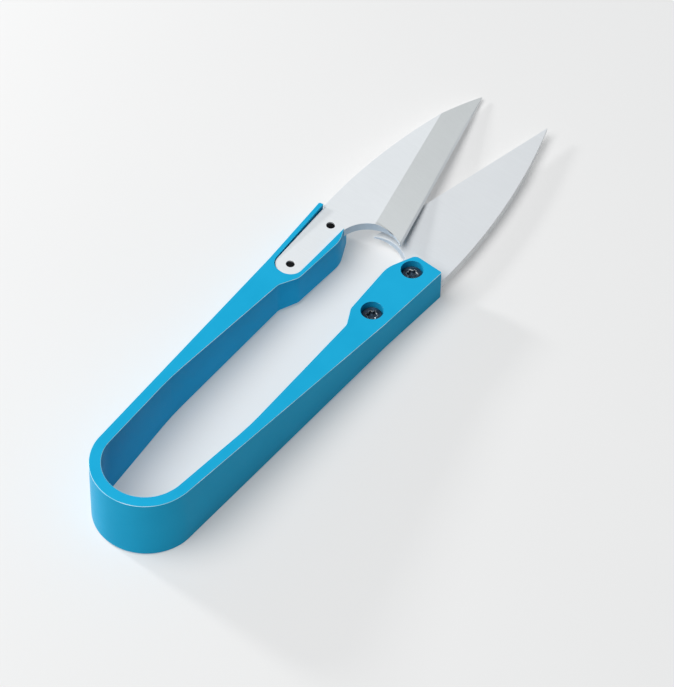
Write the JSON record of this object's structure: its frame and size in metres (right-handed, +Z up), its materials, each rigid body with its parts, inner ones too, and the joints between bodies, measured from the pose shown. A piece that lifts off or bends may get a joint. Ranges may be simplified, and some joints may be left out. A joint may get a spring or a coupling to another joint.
{
  "type": "spring thread snips",
  "caption": "One-hand thread snips: a U-shaped blue anodised spring handle with two pointed steel blades screwed to its pads, squeezed to cut and springing open.",
  "frame": {"origin": "under the middle of the overall length, on the surface the snips lie on", "axes": "+X from the spring bend to the blade tips, +Y to the left arm (its blade is the upper one), +Z up from the surface they lie on"},
  "size_m": [0.1202, 0.0276, 0.0138],
  "materials": {
    "spring_bend": "fine bead-blasted, bright blue anodised",
    "left_arm": "fine bead-blasted, bright blue anodised",
    "left_blade": "satin flats with finely ground bevels",
    "left_rear_screw": "black oxide, satin",
    "left_front_screw": "black oxide, satin",
    "right_arm": "fine bead-blasted, bright blue anodised",
    "right_blade": "satin flats with finely ground bevels",
    "right_rear_screw": "black oxide, satin",
    "right_front_screw": "black oxide, satin"
  },
  "bodies": {
    "bend": {"spring_bend": "spring_bend"},
    "left_half": {"left_arm": "left_arm", "left_blade": "left_blade", "left_rear_screw": "left_rear_screw", "left_front_screw": "left_front_screw"},
    "right_half": {"right_arm": "right_arm", "right_blade": "right_blade", "right_rear_screw": "right_rear_screw", "right_front_screw": "right_front_screw"}
  },
  "joints": [
    {"name": "left_arm_flex", "type": "hinge", "parent": "bend", "child": "left_half", "pos_m": [-0.05048, 0.00876, 0.00663], "axis": [-0.0474, -0.1057, -0.9933], "range_deg": [0, 4.2], "stiffness_Nm_per_rad": 2.6},
    {"name": "right_arm_flex", "type": "hinge", "parent": "bend", "child": "right_half", "pos_m": [-0.05048, -0.00876, 0.00663], "axis": [0.0474, 0.1057, 0.9933], "range_deg": [0, 4.2], "stiffness_Nm_per_rad": 2.6}
  ],
  "couplings": [
    {"joint": "right_arm_flex", "follows": "left_arm_flex", "ratio": 1}
  ]
}
